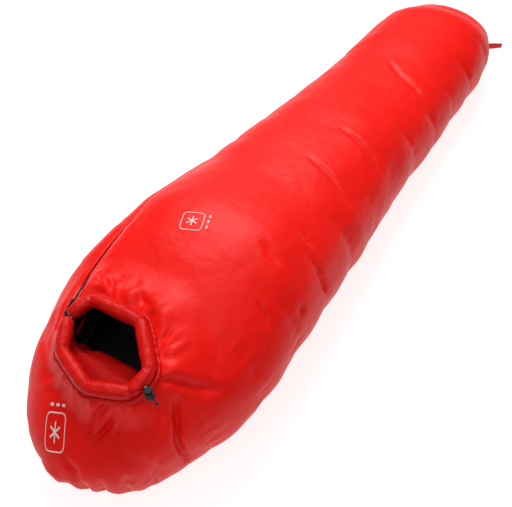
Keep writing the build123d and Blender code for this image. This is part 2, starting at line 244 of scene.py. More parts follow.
def srgb(r, g, b):
    return tuple((c / 255 / 12.92) if c / 255 <= 0.04045 else ((c / 255 + 0.055) / 1.055) ** 2.4 for c in (r, g, b)) + (1.0,)


def cloth_material(name, colour, rough, sheen=0.0, weave=1500.0, bump=0.10, vary=0.06, spec=0.4, tint=(1, 1, 1, 1), wrinkle=0.0):
    m, nt, b = node_material(name)
    N, L = nt.nodes, nt.links
    co = N.new("ShaderNodeTexCoord")
    big = N.new("ShaderNodeTexNoise")
    big.inputs["Scale"].default_value = 9.0
    big.inputs["Detail"].default_value = 3.0
    L.new(co.outputs["Object"], big.inputs["Vector"])
    ramp = N.new("ShaderNodeValToRGB")
    lo, hi = 1 - vary, 1 + vary
    ramp.color_ramp.elements[0].position = 0.3
    ramp.color_ramp.elements[1].position = 0.7
    ramp.color_ramp.elements[0].color = tuple(min(1, c * lo) for c in colour[:3]) + (1,)
    ramp.color_ramp.elements[1].color = tuple(min(1, c * hi) for c in colour[:3]) + (1,)
    L.new(big.outputs["Fac"], ramp.inputs["Fac"])
    L.new(ramp.outputs["Color"], b.inputs["Base Color"])
    b.inputs["Roughness"].default_value = rough
    b.inputs["Specular IOR Level"].default_value = spec
    b.inputs["Sheen Weight"].default_value = sheen
    b.inputs["Sheen Roughness"].default_value = 0.45
    b.inputs["Sheen Tint"].default_value = tint
    wx = N.new("ShaderNodeTexWave")
    wx.bands_direction = "X"
    wx.inputs["Scale"].default_value = weave / 6
    wx.inputs["Distortion"].default_value = 0.4
    wy = N.new("ShaderNodeTexWave")
    wy.bands_direction = "Y"
    wy.inputs["Scale"].default_value = weave / 6
    wy.inputs["Distortion"].default_value = 0.4
    L.new(co.outputs["Object"], wx.inputs["Vector"])
    L.new(co.outputs["Object"], wy.inputs["Vector"])
    mx = N.new("ShaderNodeMath")
    mx.operation = "MULTIPLY"
    L.new(wx.outputs["Fac"], mx.inputs[0])
    L.new(wy.outputs["Fac"], mx.inputs[1])
    bump1 = N.new("ShaderNodeBump")
    bump1.inputs["Strength"].default_value = bump
    bump1.inputs["Distance"].default_value = 0.0003
    L.new(mx.outputs[0], bump1.inputs["Height"])
    last = bump1
    if wrinkle:
        fine = N.new("ShaderNodeTexNoise")
        fine.inputs["Scale"].default_value = 42.0
        fine.inputs["Detail"].default_value = 5.0
        fine.inputs["Roughness"].default_value = 0.55
        L.new(co.outputs["Object"], fine.inputs["Vector"])
        bump2 = N.new("ShaderNodeBump")
        bump2.inputs["Strength"].default_value = wrinkle
        bump2.inputs["Distance"].default_value = 0.004
        L.new(fine.outputs["Fac"], bump2.inputs["Height"])
        L.new(bump2.outputs["Normal"], bump1.inputs["Normal"])
    L.new(last.outputs["Normal"], b.inputs["Normal"])
    return m


def solid_material(name, colour, rough, metallic=0.0, spec=0.5, grain=60.0, bump=0.05):
    m, nt, b = node_material(name)
    N, L = nt.nodes, nt.links
    co = N.new("ShaderNodeTexCoord")
    nz = N.new("ShaderNodeTexNoise")
    nz.inputs["Scale"].default_value = grain
    L.new(co.outputs["Object"], nz.inputs["Vector"])
    ramp = N.new("ShaderNodeValToRGB")
    ramp.color_ramp.elements[0].color = tuple(c * 0.88 for c in colour[:3]) + (1,)
    ramp.color_ramp.elements[1].color = tuple(min(1, c * 1.1) for c in colour[:3]) + (1,)
    L.new(nz.outputs["Fac"], ramp.inputs["Fac"])
    L.new(ramp.outputs["Color"], b.inputs["Base Color"])
    b.inputs["Roughness"].default_value = rough
    b.inputs["Metallic"].default_value = metallic
    b.inputs["Specular IOR Level"].default_value = spec
    bp = N.new("ShaderNodeBump")
    bp.inputs["Strength"].default_value = bump
    bp.inputs["Distance"].default_value = 0.0004
    L.new(nz.outputs["Fac"], bp.inputs["Height"])
    L.new(bp.outputs["Normal"], b.inputs["Normal"])
    return m


RED = (0.80, 0.0065, 0.0035, 1)
M_SHELL = cloth_material("shell_nylon", RED, 0.42, sheen=0.0, vary=0.04, spec=0.15, wrinkle=0.42)
M_RING = cloth_material("ring_nylon", (0.58, 0.004, 0.0025, 1), 0.42, sheen=0.0, vary=0.04, spec=0.14, wrinkle=0.8)
M_HOODLIN = cloth_material("hood_lining", (0.36, 0.003, 0.002, 1), 0.6, sheen=0.0, vary=0.05, spec=0.06, wrinkle=0.25)
# painted shade: the body lining is near-black so that the deep inside of the bag reads dark; the same dark cloth is
# used for the collar, the draft tube and the other inner parts
M_LINING = cloth_material("body_lining", (0.012, 0.011, 0.012, 1), 0.62, sheen=0.03, vary=0.1, spec=0.25)
M_TAPE = cloth_material("zip_tape", (0.34, 0.006, 0.004, 1), 0.75, weave=4200, bump=0.3, spec=0.2)
M_STRIP = cloth_material("anti_snag_strip", (0.46, 0.30, 0.22, 1), 0.7, weave=3600, bump=0.3, spec=0.25)
M_WEB = cloth_material("webbing", (0.62, 0.030, 0.032, 1), 0.7, weave=3000, bump=0.5, spec=0.25)
M_WEBDARK = cloth_material("pull_webbing", (0.045, 0.012, 0.012, 1), 0.7, weave=3000, bump=0.5, spec=0.25)
M_CORD = cloth_material("cord", (0.016, 0.015, 0.015, 1), 0.6, weave=6000, bump=0.6, spec=0.3)
M_COIL = solid_material("zip_coil", (0.22, 0.010, 0.008), 0.45, grain=300)
M_METAL = solid_material("zip_metal", (0.075, 0.07, 0.07), 0.42, metallic=0.8, grain=400)
M_LOCK = solid_material("lock_plastic", (0.008, 0.008, 0.010), 0.5, spec=0.22, grain=500)
M_SPRING = solid_material("spring_steel", (0.55, 0.55, 0.56), 0.3, metallic=1.0, grain=500)
M_MARK = cloth_material("print", (0.86, 0.60, 0.56, 1), 0.55, weave=2500, bump=0.1, spec=0.3, vary=0.03)
M_DOWN = cloth_material("down", (0.86, 0.84, 0.80, 1), 0.9, weave=400, bump=0.4, spec=0.1)
M_BAFFLE = cloth_material("baffle", (0.80, 0.78, 0.75, 1), 0.8, weave=900, bump=0.3, spec=0.1)


# ---------------------------------------------------------------- mesh tools
def new_object(name, verts, faces, material, smooth_faces=True):
    me = bpy.data.meshes.new(name)
    me.from_pydata([tuple(map(float, v)) for v in verts], [], [tuple(int(i) for i in f) for f in faces])
    me.validate()
    me.update()
    for p in me.polygons:
        p.use_smooth = smooth_faces
    o = bpy.data.objects.new(name, me)
    scene.collection.objects.link(o)
    for m in material if isinstance(material, (list, tuple)) else [material]:
        me.materials.append(m)
    return o


def coords(o):
    co = np.zeros(len(o.data.vertices) * 3)
    o.data.vertices.foreach_get("co", co)
    return co.reshape(-1, 3)


def normals(o):
    o.data.update()
    n = np.array([v.vector[:] for v in o.data.vertex_normals]) if len(o.data.vertices) else np.zeros((0, 3))
    return n


def set_coords(o, co):
    o.data.vertices.foreach_set("co", np.asarray(co, float).ravel())
    o.data.update()


def apply_modifiers(o):
    dg = bpy.context.evaluated_depsgraph_get()
    me = bpy.data.meshes.new_from_object(o.evaluated_get(dg))
    old = o.data
    o.modifiers.clear()
    o.data = me
    bpy.data.meshes.remove(old)
    for p in me.polygons:
        p.use_smooth = True


def subdivide(o, levels=1):
    m = o.modifiers.new("sub", "SUBSURF")
    m.levels = m.render_levels = levels
    m.boundary_smooth = "PRESERVE_CORNERS"
    apply_modifiers(o)


def fbm(P, scale, seed=0.0, octaves=2):
    out = np.zeros(len(P))
    for i, p in enumerate(P):
        v = Vector((p[0] * scale[0] + seed, p[1] * scale[1] + seed * 0.7, p[2] * scale[2] - seed))
        t = noise.noise(v)
        if octaves > 1:
            t += 0.5 * noise.noise(v * 2.07)
        if octaves > 2:
            t += 0.25 * noise.noise(v * 4.1)
        out[i] = t
    return out


def crease_distance(P, N, pts):
    """Distance to a line drawn on the skin, measured along the skin, and how far along it."""
    step = np.linalg.norm(np.diff(pts, axis=0), axis=1)
    run = np.concatenate([[0], np.cumsum(step)])
    best, f = np.full(len(P), 9.0), np.zeros(len(P))
    for i in range(len(pts) - 1):
        d = pts[i + 1] - pts[i]
        t = np.clip(((P - pts[i]) @ d) / (d @ d), 0, 1)
        gap = P - pts[i] - t[:, None] * d
        up = np.sum(gap * N, axis=1)
        m = np.sqrt(np.maximum(np.sum(gap * gap, axis=1) - 0.85 * up * up, 0)) + 6 * np.maximum(np.abs(up) - 0.030, 0)
        near = m < best
        best = np.where(near, m, best)
        f = np.where(near, (run[i] + t * step[i]) / run[-1], f)
    return best, f


def segments_distance(P, pts):
    """Distance to a 3-D polyline and the fraction along it."""
    pts = np.array(pts, float)
    d = np.linalg.norm(np.diff(pts, axis=0), axis=1)
    cum = np.concatenate([[0], np.cumsum(d)])
    best, frac = np.full(len(P), 9.0), np.zeros(len(P))
    for i in range(len(pts) - 1):
        e = pts[i + 1] - pts[i]
        t = np.clip(((P - pts[i]) @ e) / (e @ e), 0, 1)
        q = np.linalg.norm(P - pts[i] - t[:, None] * e, axis=1)
        m = q < best
        best[m] = q[m]
        frac[m] = (cum[i] + t[m] * d[i]) / cum[-1]
    return best, frac


def sweep_tube(name, path, radius, material, sides=28, closed=True, flat=None, wobble=None, ends=True):
    """Tube mesh. radius(f, phi) in metres with f along and phi round; flat gives the direction that the second axis is
    turned towards.
    """
    n = len(path)
    path = np.asarray(path, float)
    if closed:
        tan = np.roll(path, -1, 0) - np.roll(path, 1, 0)
    else:
        tan = np.gradient(path, axis=0)
    tan /= np.linalg.norm(tan, axis=1)[:, None]
    up = np.array((0.0, 0.0, 1.0)) if flat is None else np.asarray(flat, float)
    verts = []
    for i in range(n):
        a = np.cross(tan[i], up)
        a /= np.linalg.norm(a)
        b = np.cross(a, tan[i])
        f = i / (n if closed else n - 1)
        for j in range(sides):
            ph = 2 * math.pi * j / sides
            r = radius(f, ph)
            ra, rb = r if isinstance(r, tuple) else (r, r)
            verts.append(path[i] + a * math.cos(ph) * ra + b * math.sin(ph) * rb)
    faces = []
    for i in range(n if closed else n - 1):
        for j in range(sides):
            k = (i + 1) % n
            faces.append((i * sides + j, i * sides + (j + 1) % sides, k * sides + (j + 1) % sides, k * sides + j))
    if not closed and ends:
        for i, flip in ((0, False), (n - 1, True)):
            verts.append(path[i])
            c = len(verts) - 1
            for j in range(sides):
                f = (i * sides + (j + 1) % sides, i * sides + j, c)
                faces.append(f[::-1] if flip else f)
    return new_object(name, verts, faces, material)


# ---------------------------------------------------------------- outer shell
def row_list():
    rows = [-1.060, -1.0585, -1.055, -1.050, -1.043, -1.034, -1.024, -1.012, -1.0, -0.988]
    rows += list(np.linspace(-0.976, -0.806, 18))
    off = [0, 0.004, 0.010, 0.018, 0.029, 0.042, 0.056, 0.0705, 0.085, 0.0995, 0.113, 0.124, 0.134, 0.1415, 0.1465]
    for k in range(11):
        rows += [SEAMS[k] + f for f in off]
    rows += [FOOT_Y + f for f in (0, 0.004, 0.010, 0.018, 0.029)]
    rows += list(np.linspace(0.892, 1.0, 11))
    rows += [1.010, 1.020, 1.029, 1.038, 1.045, 1.051, 1.0555, 1.0585, 1.060]
    return np.array(rows)


ROWS = row_list()
NEAR = [0.0, 0.0044, 0.0088, 0.0125, 0.0180, 0.0260, 0.0360]
N_REST = 150
NCOL = 2 * len(NEAR) - 1 + N_REST


def build_grid():
    P = np.zeros((len(ROWS), NCOL, 3))
    frac_prev = None
    fr = {}
    for j, y in enumerate(ROWS):
        if ZIP_Y0 - 0.02 <= y <= ZIP_Y1 + 0.03:
            O = outline(y)
            L = np.concatenate([[0], np.cumsum(np.hypot(*np.diff(O, axis=0).T))])
            a = arc(zip_s_at(y))[0]
            i = int(np.argmin(np.hypot(O[:, 0] - a[0], O[:, 1] - a[2])))
            fr[j] = L[i] / L[-1]
    lo, hi = min(fr), max(fr)
    for j, y in enumerate(ROWS):
        O = outline(y)
        L = np.concatenate([[0], np.cumsum(np.hypot(*np.diff(O, axis=0).T))])
        tot = L[-1]
        f = fr.get(j, fr[lo] if j < lo else fr[hi])
        k = min(1.0, tot / 0.7)
        near = np.array(NEAR) * k
        s0 = f * tot
        rest = np.linspace(near[-1], tot - near[-1], N_REST + 2)[1:-1]
        d = np.concatenate([near, rest, -near[:0:-1]])
        s = (s0 + d) % tot
        P[j, :, 0] = np.interp(s, L, O[:, 0])
        P[j, :, 2] = np.interp(s, L, O[:, 1])
        P[j, :, 1] = y
    return P


SIGNED = np.array(NEAR + [9.0] * N_REST + [-v for v in NEAR[:0:-1]])


def grid_normals(P):
    du = np.roll(P, -1, 1) - np.roll(P, 1, 1)
    dv = np.gradient(P, axis=0)
    n = np.cross(dv, du)
    l = np.linalg.norm(n, axis=2, keepdims=True)
    n = n / np.maximum(l, 1e-9)
    n[0] = (0, -1, 0)
    n[-1] = (0, 1, 0)
    return n


BASE = build_grid()
GN = grid_normals(BASE)
# outward check
if (GN[100, :, 2] * np.sign(BASE[100, :, 2] - 0.15)).sum() < 0:
    GN[1:-1] *= -1


def seam_shape(P, n):
    """Soft puffs between the chamber seams, deeper on the flanks than on top."""
    y = P[..., 1]
    f = (y - HOOD_Y) / CHAMBER
    k = np.round(f)
    inside = (k >= 0) & (k <= 11)
    dist = np.where(inside, np.abs(f - k) * CHAMBER, np.abs(np.where(k < 0, y - HOOD_Y, y - FOOT_Y)))
    flank = smooth((np.abs(n[..., 0]) - 0.25) / 0.6)
    left = P[..., 0] < 0
    uneven = 0.75 + 0.75 * np.sin(k * 2.7 + 1.0) * np.sin(P[..., 0] * 9 + k * 1.9)
    depth = (0.0007 + 0.0028 * flank * np.where(left, 0.75, 1.0)) * uneven
    hoodseam = np.where(np.abs(y - HOOD_Y) < 0.07, 0.35 + 0.65 * flank, 1.0)
    dip = np.exp(-((dist / 0.011) ** 2)) * 0.55 + np.exp(-((dist / 0.034) ** 2)) * 0.45
    off = -depth * hoodseam * dip + 0.0018 * flank * (1 - np.exp(-((dist / 0.05) ** 2)))
    off *= smooth((P[..., 2] - 0.004) / 0.05)
    return off


def ring_lift(P):
    """Height change around the face ring, which stands on a soft mound."""
    x, v, w = ring_w(P[:, 0], P[:, 1], P[:, 2])
    rho = loop_distance(x, v)
    out = np.zeros(len(P))
    top = (P[:, 2] > 0.17) & (rho < 0.158)
    ang = np.arctan2(v, x)
    foot = smooth((np.sin(ang) + 0.25) / 0.9)  # towards the chest
    reach = 0.055 + 0.078 * foot
    g = 1 - smooth((rho - 0.004 - 0.010 * foot) / reach)
    lobe = 0.62 + 0.38 * np.cos(ang - 2.0) + 0.16 * np.sin(ang * 5 + 1.0) + 0.10 * np.sin(ang * 11)
    target = -0.016 + 0.0240 * foot * lobe * smooth((rho - 0.017) / (0.030 + 0.008 * np.sin(ang * 7))) + 0.005 * (1 - foot) * np.exp(-(((rho - 0.042) / 0.018) ** 2))
    lift = g * (target - w)
    lift = np.where(rho < 0, -0.016 - w, lift)
    A = arc(np.interp(P[:, 1], _ay, _s))[0]
    away = np.where((P[:, 1] > ZIP_Y0 - 0.03) & (P[:, 0] < 0), smooth((np.linalg.norm(P - A, axis=1) - 0.010) / 0.026), 1.0)
    lift = np.where(rho > 0.0, lift * away, lift)
    out[top] = np.maximum(lift, -0.03)[top]
    return out, rho


def simulate(o, pins, pressure, grow, frames):
    """Cloth pass: the skin is a little too large for its seams and swells between them."""
    vg = o.vertex_groups.new(name="pin")
    for wgt in np.unique(np.round(pins, 2)):
        if wgt > 0:
            vg.add([int(i) for i in np.nonzero(np.round(pins, 2) == wgt)[0]], float(wgt), "REPLACE")
    m = o.modifiers.new("cloth", "CLOTH")
    s = m.settings
    s.quality = 5
    s.mass = 0.25
    s.tension_stiffness = s.compression_stiffness = 14
    s.shear_stiffness = 4
    s.bending_stiffness = 0.35
    s.tension_damping = s.compression_damping = 6
    s.shear_damping = 4
    s.bending_damping = 0.5
    s.air_damping = 6
    s.vertex_group_mass = "pin"
    s.pin_stiffness = 1.0
    s.shrink_min = -grow
    s.use_pressure = True
    s.uniform_pressure_force = pressure
    s.effector_weights.gravity = 0.0
    m.collision_settings.use_self_collision = False
    m.collision_settings.use_collision = False
    m.point_cache.frame_start = 1
    m.point_cache.frame_end = frames
    scene.frame_start, scene.frame_end = 1, frames
    for fr in range(1, frames + 1):
        scene.frame_set(fr)
    dg = bpy.context.evaluated_depsgraph_get()
    ev = o.evaluated_get(dg)
    co = np.zeros(len(o.data.vertices) * 3)
    ev.data.vertices.foreach_get("co", co)
    o.modifiers.clear()
    scene.frame_set(1)
    return co.reshape(-1, 3)


def build_shell():
    P = BASE.copy()
    off = seam_shape(P, GN)
    P = P + GN * off[..., None]
    # valley in which the zipper lies
    for j, y in enumerate(ROWS):
        if not (ZIP_Y0 - 0.07 <= y <= ZIP_Y1 + 0.10):
            continue
        s = zip_s_at(y)
        A, rad, tan = arc(s)
        ends = smooth((y - (ZIP_Y0 - 0.07)) / 0.06) * smooth(((ZIP_Y1 + 0.10) - y) / 0.09)
        for i, d in enumerate(SIGNED):
            if abs(d) > 1:
                continue
            w = 1 - smooth((abs(d) - 0.0088) / 0.026)
            shut = float(smooth((s - 0.070) / 0.04)) * float(smooth((ZR * ZA + 0.004 - s) / 0.03))
            ad = abs(d)
            wide = 0.0012 + 0.0046 * math.exp(-(((ad - 0.0165) / 0.006) ** 2))
            tight = float(np.interp(ad, [0.0, 0.0044, 0.0088, 0.0125, 0.018, 0.026, 0.036], [0.0, 0.0, 0.0042, 0.0066, 0.0076, 0.0066, 0.005]))
            pull = float(np.interp(ad, [0.0, 0.0044, 0.0088, 0.0125, 0.018, 0.026, 0.036], [0.0, 0.0, 0.0040, 0.0098, 0.0098, 0.0055, 0.0]))
            t = A + ZN * math.copysign(ad - pull * shut, d) + rad * (wide + (tight - wide) * shut)
            t = t + tan * ((y - t[1]) / tan[1])
            P[j, i] = P[j, i] * (1 - w * ends) + t * (w * ends)
    V = P.reshape(-1, 3)
    lift, rho = ring_lift(V)
    V = V + lift[:, None] * np.array((0, -math.sin(TILT), math.cos(TILT)))
    V[:, 2] = np.maximum(V[:, 2], 0.0)
    rho2 = rho.reshape(len(ROWS), NCOL)
    Z2 = V[:, 2].reshape(len(ROWS), NCOL)

    faces, zipband = [], []
    nr = len(ROWS)
    for j in range(nr - 1):
        ym = (ROWS[j] + ROWS[j + 1]) / 2
        for i in range(NCOL):
            k = (i + 1) % NCOL
            inzip = i in (0, 1, NCOL - 1, NCOL - 2) and ZIP_Y0 < ym < ZIP_Y1
            r = (rho2[j, i] + rho2[j, k] + rho2[j + 1, i] + rho2[j + 1, k]) / 4
            if r < -0.001 and BASE[j, i, 2] > 0.17:
                continue
            if inzip:
                continue
            faces.append((j * NCOL + i, j * NCOL + k, (j + 1) * NCOL + k, (j + 1) * NCOL + i))
    # closed ends
    V = list(V)
    for j, flip in ((0, True), (nr - 1, False)):
        c = np.mean(P[j], axis=0) + np.array((0, -0.0015 if j == 0 else 0.0015, 0))
        V.append(c)
        for i in range(NCOL):
            f = (j * NCOL + i, j * NCOL + (i + 1) % NCOL, len(V) - 1)
            faces.append(f[::-1] if flip else f)
    o = new_object("shell", V, faces, M_SHELL)
    bm = bmesh.new()
    bm.from_mesh(o.data)
    tag = bm.verts.layers.int.new("gi")
    for n_, v in enumerate(bm.verts):
        v[tag] = n_
    loose = [v for v in bm.verts if not v.link_faces]
    bmesh.ops.delete(bm, geom=loose, context="VERTS")
    bmesh.ops.recalc_face_normals(bm, faces=bm.faces)
    bm.to_mesh(o.data)
    gi = np.array([v[tag] for v in bm.verts])
    bm.free()
    for p in o.data.polygons:
        p.use_smooth = True
    # make sure it faces outward
    co = coords(o)
    no = normals(o)
    if (no[:, 2] * np.sign(co[:, 2] - 0.15)).sum() < 0:
        o.data.flip_normals()
    return o, gi


shell, GI = build_shell()


def boundary_mask(o):
    bm = bmesh.new()
    bm.from_mesh(o.data)
    m = np.array([v.is_boundary for v in bm.verts])
    bm.free()
    return m


co0 = coords(shell)
x_, v_, w_ = ring_w(co0[:, 0], co0[:, 1], co0[:, 2])
rho_shell = loop_distance(x_, v_)
edge = boundary_mask(shell)
hole = edge & (rho_shell < 0.03) & (co0[:, 2] > 0.2)
# the hole's edge is drawn onto the ring's centre line
ring_line3 = RING_LOOP
for i in np.nonzero(hole)[0]:
    q = np.array((x_[i], v_[i]))
    k = int(np.argmin(np.hypot(*(ring_line3 - q).T)))
    co0[i] = ring_point(ring_line3[k, 0], ring_line3[k, 1], -0.013)
set_coords(shell, co0)

row = np.where(GI < len(ROWS) * NCOL, GI // NCOL, 0)
yy = ROWS[np.clip(row, 0, len(ROWS) - 1)]
f = (yy - HOOD_Y) / CHAMBER
dist = np.abs(f - np.round(f)) * CHAMBER
seam = (dist < 0.002) & (yy > HOOD_Y - 0.01) & (yy < FOOT_Y + 0.01)
pins = np.where(seam, 1.0, 0.0)
pins = np.maximum(pins, np.where(np.abs(rho_shell) < 0.022, np.where(co0[:, 2] > 0.2, 1.0, 0.0), 0.0))
pins = np.maximum(pins, np.where(edge, 1.0, 0.0))
pins = np.maximum(pins, np.where(co0[:, 2] < 0.006, 1.0, 0.0))
pins = np.maximum(pins, np.where((yy < -1.045) | (yy > 1.05), 1.0, 0.0))
pins = np.maximum(pins, 0.0)
sim = simulate(shell, pins, 2.2, 0.028, 16)
d = sim - co0
n0 = normals(shell)
along = np.clip((d * n0).sum(1), -0.010, 0.010)
side = d - n0 * (d * n0).sum(1)[:, None]
sl = np.linalg.norm(side, axis=1)
side *= np.minimum(1, 0.006 / np.maximum(sl, 1e-9))[:, None]
free = smooth((co0[:, 2] - 0.002) / 0.03)[:, None]
co1 = co0 + (n0 * along[:, None] * 0.62 + side * 0.5) * free
co1[:, 2] = np.maximum(co1[:, 2], 0.0)
set_coords(shell, co1)
print("cloth moved", float(np.abs(along).mean()), float(np.abs(along).max()))

subdivide(shell, 1)

# creases: points in millimetres on the skin, width and depth in millimetres
CREASES = [
    ([[-23, 530, 262], [47, 478, 262], [112, 455, 253], [171, 427, 230]], 8, 6.7),
    ([[38, 114, 305], [112, 99, 295], [158, 88, 280], [202, 72, 254]], 8, 6.7),
    ([[32, -55, 321], [118, -76, 311], [163, -99, 299], [207, -109, 275]], 8, 6.3),
    ([[125, -405, 372], [165, -422, 360], [197, -428, 345]], 9, 6.3),
    ([[165, -294, 338], [199, -308, 324], [219, -307, 309]], 8, 5.8),
    ([[246, -349, 294], [271, -349, 252], [281, -357, 206]], 8, 7.5),
    ([[201, -537, 335], [231, -549, 315], [250, -565, 298]], 8, 5.8),
    ([[267, -458, 280], [278, -466, 258]], 8, 5.8),
    ([[-28, -679, 339], [5, -693, 335], [36, -702, 331]], 12, 6.3),
    ([[132, -805, 294], [170, -790, 288], [208, -757, 281], [254, -720, 256]], 10, 8),
    ([[179, -804, 279], [192, -830, 263], [210, -847, 237], [216, -863, 212], [226, -864, 162], [228, -860, 110]], 9, 22),
    ([[192, -916, 190], [193, -931, 131], [190, -934, 60]], 8, 12),
    ([[150, -976, 165], [150, -986, 116], [148, -984, 60]], 8, 11),
    ([[160, -968, 161], [161, -974, 130]], 7, 5.0),
    ([[110, -1011, 159], [106, -1021, 103], [104, -1016, 60]], 8, 11),
    ([[77, -1033, 146], [72, -1036, 100], [70, -1030, 60]], 8, 10),
    ([[42, -951, 238], [73, -905, 268], [92, -879, 279]], 9, 5.4),
    ([[63, -972, 222], [84, -937, 245], [92, -917, 258]], 8, 5.0),
    ([[2, -936, 253], [29, -916, 265], [61, -897, 274]], 8, 5.0),
    ([[-96, -925, 252], [-62, -902, 271], [-19, -908, 270]], 9, 5.0),
    ([[96, -764, 310], [97, -722, 321], [98, -702, 327]], 16, 5.4),
    ([[-144, -704, 319], [-138, -680, 328], [-138, -657, 335]], 9, 6.7),
    ([[-98, -696, 329], [-96, -668, 338], [-97, -652, 343]], 9, 4.0),
    ([[-53, -689, 335], [-49, -663, 344], [-49, -641, 350]], 10, 4.0),
    ([[118, -785, 302], [134, -749, 309], [155, -705, 316]], 14, 4.0),
    ([[-134, -890, 263], [-175, -866, 257], [-218, -831, 238]], 9, 3.0),
    ([[111, -883, 273], [80, -939, 244], [61, -977, 219]], 7, 9),
    ([[94, -889, 274], [58, -932, 253], [32, -977, 223]], 7, 8),
    ([[121, -883, 271], [109, -926, 247], [103, -959, 220]], 7, 6.7),
    ([[-124, -927, 241], [-85, -906, 266], [-53, -882, 281]], 8, 7.1),
    ([[-101, -946, 232], [-70, -931, 252], [-34, -920, 263]], 8, 6.3),
    ([[141, -809, 291], [168, -782, 291], [196, -769, 283]], 8, 7.5),
    ([[94, -762, 311], [92, -731, 320], [96, -698, 329]], 8, 6.3),
    ([[110, -775, 306], [114, -737, 315], [126, -702, 323]], 8, 5.8),
    ([[-157, -675, 325], [-134, -689, 326], [-110, -701, 326]], 7, 6.7),
    ([[-120, -670, 334], [-99, -683, 333], [-80, -698, 330]], 7, 6.3),
    ([[-37, -670, 342], [1, -684, 337], [40, -685, 337]], 9, 7.1),
    ([[11, -1023, 185], [54, -1028, 171], [68, -1040, 124]], 7, 5.8),
    ([[171, -927, 209], [182, -938, 174], [180, -950, 105]], 7, 6.3),
    # on the left flank, the back of the foot end and under the zipper
    ([[-255, -560, 250], [-283, -552, 200], [-290, -556, 150]], 10, 5.4),
    ([[-262, -300, 230], [-275, -296, 180], [-279, -300, 140]], 10, 5.4),
    ([[-236, 40, 200], [-248, 52, 160], [-250, 50, 120]], 9, 5.0),
    ([[-190, 420, 210], [-216, 405, 170], [-224, 402, 120]], 9, 5.4),
    ([[-150, 590, 225], [-190, 574, 195], [-212, 560, 150]], 10, 5.0),
    ([[150, 700, 225], [188, 690, 190], [205, 690, 150]], 9, 5.0),
    ([[60, 1000, 190], [95, 1010, 165], [120, 1012, 140]], 8, 4.0),
    ([[-70, 990, 195], [-100, 1004, 165], [-126, 1006, 130]], 8, 5.0),
    ([[-200, -900, 200], [-214, -905, 160], [-216, -906, 110]], 9, 5.4),
    ([[-120, -1000, 160], [-126, -1006, 110]], 8, 5.0),
    ([[-50, -1040, 150], [-46, -1042, 100]], 8, 5.0),
]


def finish_skin(o):
    co, no = coords(o), normals(o)
    off = np.zeros(len(co))
    for pts, wid, dep in CREASES:
        pts = np.array(pts, float) / 1000
        lo, hi = pts.min(0) - 0.08, pts.max(0) + 0.08
        near = np.all((co > lo) & (co < hi), axis=1)
        idx = np.nonzero(near)[0]
        if not len(idx):
            continue
        way, _ = resample(pts, 12, closed=False)
        way = way + ring_lift(way)[0][:, None] * np.array((0, -math.sin(TILT), math.cos(TILT)))
        d, f = crease_distance(co[idx], no[idx], way)
        fade = np.minimum(1, np.minimum(f, 1 - f) / 0.28) if len(pts) > 1 else 1
        fade = np.clip(0.15 + 0.85 * fade, 0, 1)
        wd, dp = wid / 1000, dep / 1000
        end = np.where((f <= 0) | (f >= 1), 0.5, 1.0)
        off[idx] += (-0.75 * dp * np.exp(-((d / (0.8 * wd)) ** 2)) - 0.3 * dp * np.exp(-((d / (2.6 * wd)) ** 2)) + 0.16 * dp * np.exp(-(((d - 2.2 * wd) / (1.2 * wd)) ** 2))) * fade * end
    # fine gathers where a seam draws the cloth in, and low swells of the down
    y = co[:, 1]
    f = (y - HOOD_Y) / CHAMBER
    dist = np.abs(f - np.clip(np.round(f), 0, 11)) * CHAMBER
    flank = smooth((np.abs(no[:, 0]) - 0.2) / 0.6)
    g1 = fbm(co, (34, 7, 34), 3.1, 2)
    off += g1 * (0.0008 + 0.0022 * flank) * np.exp(-((dist / 0.030) ** 2))
    off += fbm(co, (6.0, 7.5, 6.0), 11.0, 2) * (0.0024 + 0.0020 * flank)
    off += fbm(co, (15, 11, 15), 5.0, 2) * (0.0006 + 0.0012 * flank)
    # gathers round the hood's rim and foot, running down to the ground
    hood = smooth((-0.84 - y) / 0.10) * smooth((0.17 - co[:, 2]) / 0.10) * smooth(co[:, 2] / 0.02)
    ang = np.arctan2(co[:, 0], -(y + 0.80))
    pl = np.array([noise.noise(Vector((a * 9.0, 0.3, z * 4.0))) for a, z in zip(ang, co[:, 2])])
    off += pl * 0.0065 * hood
    foot = smooth((y - 0.93) / 0.08) * smooth((0.16 - co[:, 2]) / 0.10) * smooth(co[:, 2] / 0.02)
    ang = np.arctan2(co[:, 0], (y - 0.86))
    pl = np.array([noise.noise(Vector((a * 7.0, 2.3, z * 4.0))) for a, z in zip(ang, co[:, 2])])
    off += pl * 0.005 * foot
    # pleats that fan out from the ring
    x, v, w = ring_w(co[:, 0], y, co[:, 2])
    rho = loop_distance(x, v)
    a = np.arctan2(v, x)
    pl = np.array([noise.noise(Vector((math.cos(t) * 4.6, math.sin(t) * 4.6, r * 2.5))) if r < 0.13 else 0.0 for t, r in zip(a, rho)])
    pl = -np.abs(pl) * 1.9 + 0.4
    fan = smooth((rho - 0.012) / 0.016) * (1 - smooth((rho - 0.022) / 0.070)) * (co[:, 2] > 0.2)
    off += pl * (0.0060 + 0.0055 * smooth((np.sin(a) - 0.1) / 0.6)) * fan
    # nothing moves at the zipper's edge, under the ring or on the ground
    A = arc(np.interp(y, _ay, _s))[0]
    dz = np.linalg.norm((co - A), axis=1)
    near_zip = (y > ZIP_Y0 - 0.02) & (y < ZIP_Y1 + 0.02)
    off *= np.where(near_zip, smooth((dz - 0.010) / 0.02), 1.0)
    off *= np.where((co[:, 2] > 0.2) & (rho < 0.03), smooth((rho - 0.004) / 0.012), 1.0)
    off *= smooth((co[:, 2] - 0.001) / 0.02)
    co = co + no * off[:, None]
    co[:, 2] = np.maximum(co[:, 2], 0.0)
    set_coords(o, co)


finish_skin(shell)

